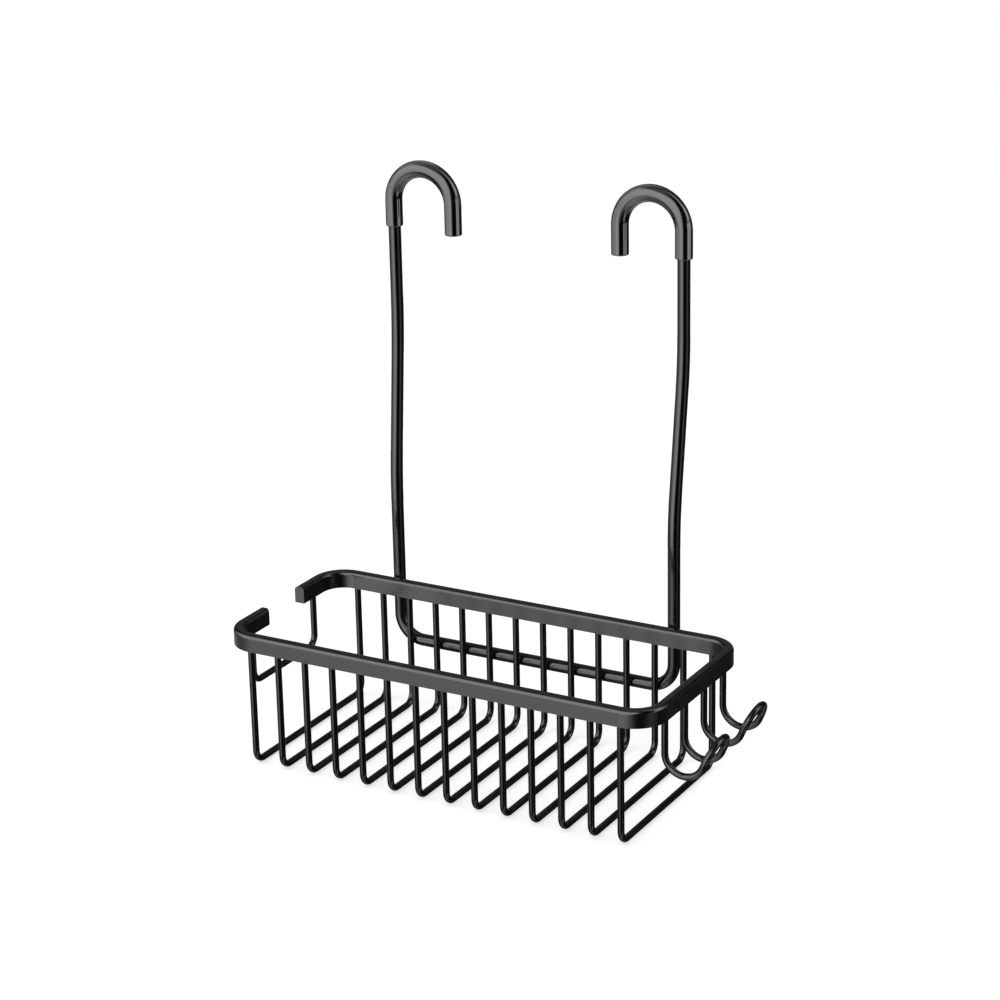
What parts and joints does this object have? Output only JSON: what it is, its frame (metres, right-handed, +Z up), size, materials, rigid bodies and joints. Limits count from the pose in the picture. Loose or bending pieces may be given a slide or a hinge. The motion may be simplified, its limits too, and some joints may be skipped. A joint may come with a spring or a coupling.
{
  "type": "shower caddy",
  "caption": "Hanging shower caddy: an open wire basket under a flat-bar rim with a gap at one side, wire hooks at the other, and a bent rod with two sleeved hooks that go over a mixer's pipes.",
  "frame": {"origin": "centre of the bounding box at its bottom, on the surface that the basket's wires stand on", "axes": "+Z up, +Y towards the wall that the hanger rods stand against, +X towards the side hooks"},
  "size_m": [0.3101, 0.141, 0.3423],
  "materials": {
    "coated_bar": "satin black coating on flat steel bar, with softly rounded top edges",
    "coated_rod": "satin black coating on bent steel rod",
    "coated_wire": "satin black coating on steel wire",
    "sleeve": "smooth, glossy soft plastic sleeve in black"
  },
  "bodies": {
    "root": {"rim": "coated_bar", "hanger": "coated_rod", "hook_sleeve_left": "sleeve", "hook_sleeve_right": "sleeve", "basket_wire_01": "coated_wire", "basket_wire_02": "coated_wire", "basket_wire_03": "coated_wire", "basket_wire_04": "coated_wire", "basket_wire_05": "coated_wire", "basket_wire_06": "coated_wire", "basket_wire_07": "coated_wire", "basket_wire_08": "coated_wire", "basket_wire_09": "coated_wire", "basket_wire_10": "coated_wire", "basket_wire_11": "coated_wire", "basket_wire_12": "coated_wire", "basket_wire_13": "coated_wire", "basket_wire_14": "coated_wire", "guard_wire": "coated_wire", "side_hook_front": "coated_wire", "side_hook_rear": "coated_wire"}
  },
  "joints": []
}
